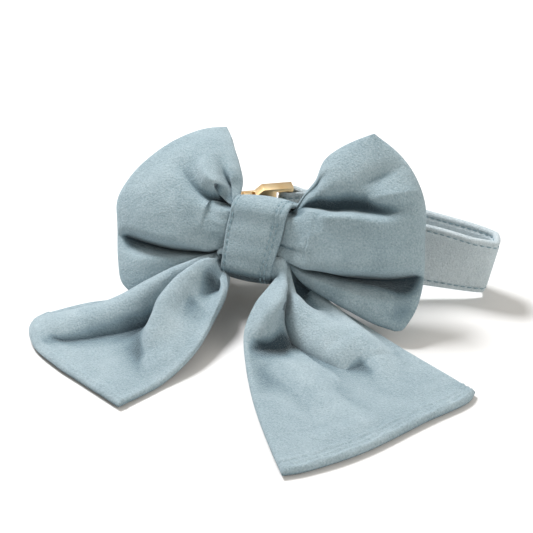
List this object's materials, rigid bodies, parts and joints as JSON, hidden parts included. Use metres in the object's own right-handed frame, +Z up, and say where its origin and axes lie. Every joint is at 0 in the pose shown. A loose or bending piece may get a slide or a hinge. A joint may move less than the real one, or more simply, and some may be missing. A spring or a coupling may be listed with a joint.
{
  "type": "pet bow tie collar",
  "caption": "Padded velvet pet collar, closed in a loop by a gold side-release buckle, with a large sailor bow and two long tails on its front.",
  "frame": {"origin": "on the surface that the collar lies on, below the middle of the box round the whole object", "axes": "+Z up, the bow faces -Y, +X to the right of someone who faces the bow"},
  "size_m": [0.1692, 0.1578, 0.0673],
  "materials": {
    "velvet_band": "short-pile velvet, stitched along both edges",
    "velvet_bow": "short-pile dusty blue velvet",
    "velvet_tail": "short-pile dusty blue velvet, double layer, hemmed",
    "gold_metal": "polished light gold plating on cast metal"
  },
  "bodies": {
    "root": {"collar_band": "velvet_band", "buckle_socket": "gold_metal", "buckle_plug": "gold_metal", "knot_band": "velvet_bow", "bow_loop_left": "velvet_bow", "bow_loop_right": "velvet_bow", "tail_left": "velvet_tail", "tail_right": "velvet_tail"}
  },
  "joints": []
}
